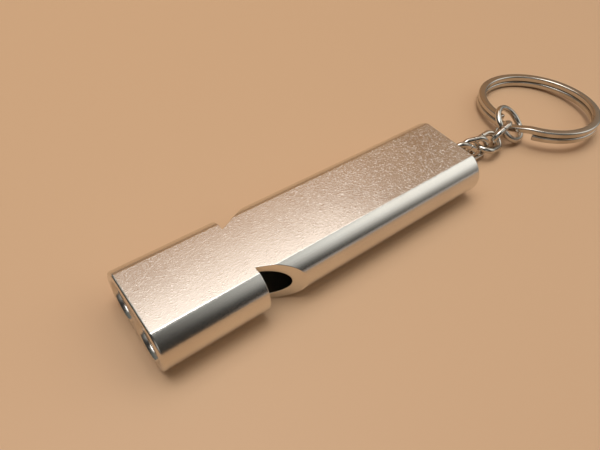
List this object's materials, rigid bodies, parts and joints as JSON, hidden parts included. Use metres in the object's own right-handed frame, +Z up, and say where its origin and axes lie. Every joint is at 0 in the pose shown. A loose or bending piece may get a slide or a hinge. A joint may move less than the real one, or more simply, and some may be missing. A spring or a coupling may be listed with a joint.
{
  "type": "survival whistle",
  "caption": "Flat metal whistle with side-by-side bores, side windows and fipple plugs, and a split ring on a short chain of twisted links.",
  "frame": {"origin": "middle of the whistle body's flat underside", "axes": "+X from the mouth to the tail and the ring, +Y to the left seen from the mouth, +Z up, out of the flat top"},
  "size_m": [0.1006, 0.024, 0.0077],
  "materials": {
    "body_aluminium": "satin, with fine short scratches",
    "plug_aluminium": "plain machined",
    "nickel_wire": "bright nickel plate",
    "nickel_ring": "bright nickel plate"
  },
  "bodies": {
    "whistle": {"whistle_body": "body_aluminium", "fipple_plug_left": "plug_aluminium", "fipple_plug_right": "plug_aluminium", "tail_eye": "nickel_wire"},
    "link_1": {"chain_link_1": "nickel_wire"},
    "link_2": {"chain_link_2": "nickel_wire"},
    "link_3": {"chain_link_3": "nickel_wire"},
    "link_4": {"chain_link_4": "nickel_wire"},
    "jump": {"jump_ring": "nickel_wire"},
    "ring": {"split_ring": "nickel_ring"}
  },
  "joints": [
    {"name": "link_1_in_eye", "type": "hinge", "parent": "whistle", "child": "link_1", "pos_m": [0.0329, 0, 0.00385], "axis": [0, -1, 0], "range_deg": [-25, 40]},
    {"name": "link_2_in_link_1", "type": "hinge", "parent": "link_1", "child": "link_2", "pos_m": [0.03628, -0.00052, 0.00185], "axis": [-0.19, 0.7779, -0.5989], "range_deg": [-50, 50]},
    {"name": "link_3_in_link_2", "type": "hinge", "parent": "link_2", "child": "link_3", "pos_m": [0.03986, -0.00119, 0.00227], "axis": [0.026, 0.146, 0.9889], "range_deg": [-50, 50]},
    {"name": "link_4_in_link_3", "type": "hinge", "parent": "link_3", "child": "link_4", "pos_m": [0.0438, -0.00089, 0.00202], "axis": [0.002, -0.853, -0.522], "range_deg": [-45, 50]},
    {"name": "jump_ring_in_link_4", "type": "hinge", "parent": "link_4", "child": "jump", "pos_m": [0.04708, 0.00012, 0.00356], "axis": [-0.097, -0.6658, 0.7398], "range_deg": [-25, 60]},
    {"name": "split_ring_in_jump_ring", "type": "hinge", "parent": "jump", "child": "ring", "pos_m": [0.04843, 0.0001, 0.00268], "axis": [0.087, -0.9932, 0.077], "range_deg": [-12, 45]}
  ]
}
